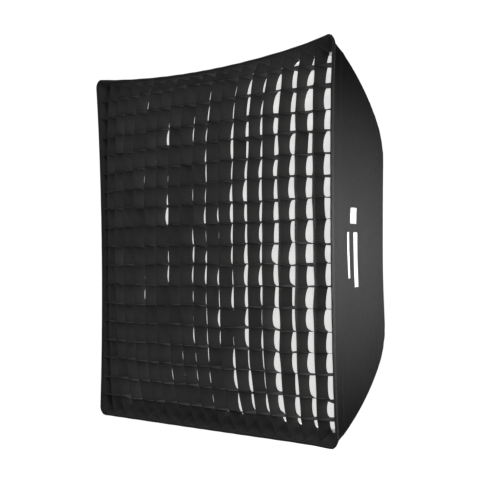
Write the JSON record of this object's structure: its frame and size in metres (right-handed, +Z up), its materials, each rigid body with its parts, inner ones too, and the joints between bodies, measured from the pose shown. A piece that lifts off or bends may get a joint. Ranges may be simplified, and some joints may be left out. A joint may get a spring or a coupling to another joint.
{
  "type": "square softbox",
  "caption": "Square fabric softbox on bent rods with a bayonet speedring, recessed lip, inner baffle, front diffuser and egg-crate grid.",
  "frame": {"origin": "centre of the light's seat on the rear bayonet mount, at the mouth of its bore", "axes": "+Y out of the rear along the mount's bore, so the front opening faces -Y; +Z up; +X to the right seen from the front"},
  "size_m": [0.8948, 0.5958, 0.896],
  "materials": {
    "shell_cloth": "black coated nylon, satin outside, silver inside",
    "tape_cloth": "black ribbed binding and webbing",
    "grid_cloth": "charcoal woven polyester strips",
    "hook_and_loop": "black hook-and-loop tape",
    "diffuser_cloth": "white translucent diffuser cloth",
    "baffle_cloth": "white translucent baffle cloth",
    "ring_metal": "black satin paint on cast aluminium",
    "mount_metal": "plated, finely turned",
    "socket_metal": "bare machined sleeves",
    "rod_steel": "spring steel",
    "screw_steel": "zinc plated",
    "snap_metal": "black press studs",
    "tip_rubber": "matt black rubber",
    "knob_plastic": "fluted black plastic"
  },
  "bodies": {
    "light_mount": {"mount_plate": "mount_metal", "bayonet_claws": "mount_metal", "claw_screws": "screw_steel"},
    "softbox_shell": {"speedring": "ring_metal", "retaining_ring": "ring_metal", "ring_screws": "screw_steel", "rod_sockets": "socket_metal", "rod_top_left": "rod_steel", "rod_top_right": "rod_steel", "rod_bottom_left": "rod_steel", "rod_bottom_right": "rod_steel", "rod_tips": "tip_rubber", "rod_keepers": "tape_cloth", "corner_pockets": "tape_cloth", "panel_top": "shell_cloth", "panel_bottom": "shell_cloth", "panel_left": "shell_cloth", "panel_right": "shell_cloth", "seam_tapes": "tape_cloth", "rear_collar": "shell_cloth", "lip_top": "shell_cloth", "lip_bottom": "shell_cloth", "lip_left": "shell_cloth", "lip_right": "shell_cloth", "edge_binding": "tape_cloth", "grid_loop_tape": "hook_and_loop", "diffuser_loop_tape": "hook_and_loop", "baffle_straps": "tape_cloth"},
    "flap_top": {"rear_flap_top": "shell_cloth"},
    "flap_bottom": {"rear_flap_bottom": "shell_cloth"},
    "flap_left": {"rear_flap_left": "shell_cloth"},
    "flap_right": {"rear_flap_right": "shell_cloth"},
    "lock_screw": {"lock_screw": "screw_steel"},
    "lock_knob": {"lock_knob": "knob_plastic"},
    "inner_baffle": {"baffle_sheet": "baffle_cloth", "baffle_binding": "tape_cloth", "baffle_snaps": "snap_metal"},
    "front_diffuser": {"diffuser_sheet": "diffuser_cloth", "diffuser_hem": "diffuser_cloth"},
    "egg_crate_grid": {"grid_verticals": "grid_cloth", "grid_horizontals": "grid_cloth", "grid_border": "grid_cloth", "grid_hook_tape": "hook_and_loop"}
  },
  "joints": [
    {"name": "shell_rotation", "type": "hinge", "parent": "light_mount", "child": "softbox_shell", "pos_m": [0, 0, 0], "axis": [0, 1, 0], "continuous": true},
    {"name": "lock_screw_travel", "type": "slide", "parent": "softbox_shell", "child": "lock_screw", "axis": [0.7071, 0, -0.7071], "range_m": [0, 0.002]},
    {"name": "lock_knob_turn", "type": "hinge", "parent": "lock_screw", "child": "lock_knob", "pos_m": [0.04964, -0.0095, -0.04964], "axis": [0.7071, 0, -0.7071], "range_deg": [0, 900]},
    {"name": "flap_top_fold", "type": "hinge", "parent": "softbox_shell", "child": "flap_top", "pos_m": [0, -0.0286, 0.0782], "axis": [1, 0, 0], "range_deg": [0, 90]},
    {"name": "flap_bottom_fold", "type": "hinge", "parent": "softbox_shell", "child": "flap_bottom", "pos_m": [0, -0.0286, -0.0782], "axis": [-1, 0, 0], "range_deg": [0, 90]},
    {"name": "flap_left_fold", "type": "hinge", "parent": "softbox_shell", "child": "flap_left", "pos_m": [-0.0782, -0.0286, 0], "axis": [0, 0, 1], "range_deg": [0, 90]},
    {"name": "flap_right_fold", "type": "hinge", "parent": "softbox_shell", "child": "flap_right", "pos_m": [0.0782, -0.0286, 0], "axis": [0, 0, -1], "range_deg": [0, 90]},
    {"name": "baffle_release", "type": "slide", "parent": "softbox_shell", "child": "inner_baffle", "axis": [0, -1, 0], "range_m": [0, 0.42]},
    {"name": "diffuser_release", "type": "slide", "parent": "inner_baffle", "child": "front_diffuser", "axis": [0, -1, 0], "range_m": [0, 0.16]},
    {"name": "grid_release", "type": "slide", "parent": "front_diffuser", "child": "egg_crate_grid", "axis": [0, -1, 0], "range_m": [0, 0.12]}
  ],
  "couplings": [
    {"joint": "lock_knob_turn", "follows": "lock_screw_travel", "rad_per_m": 7854}
  ]
}
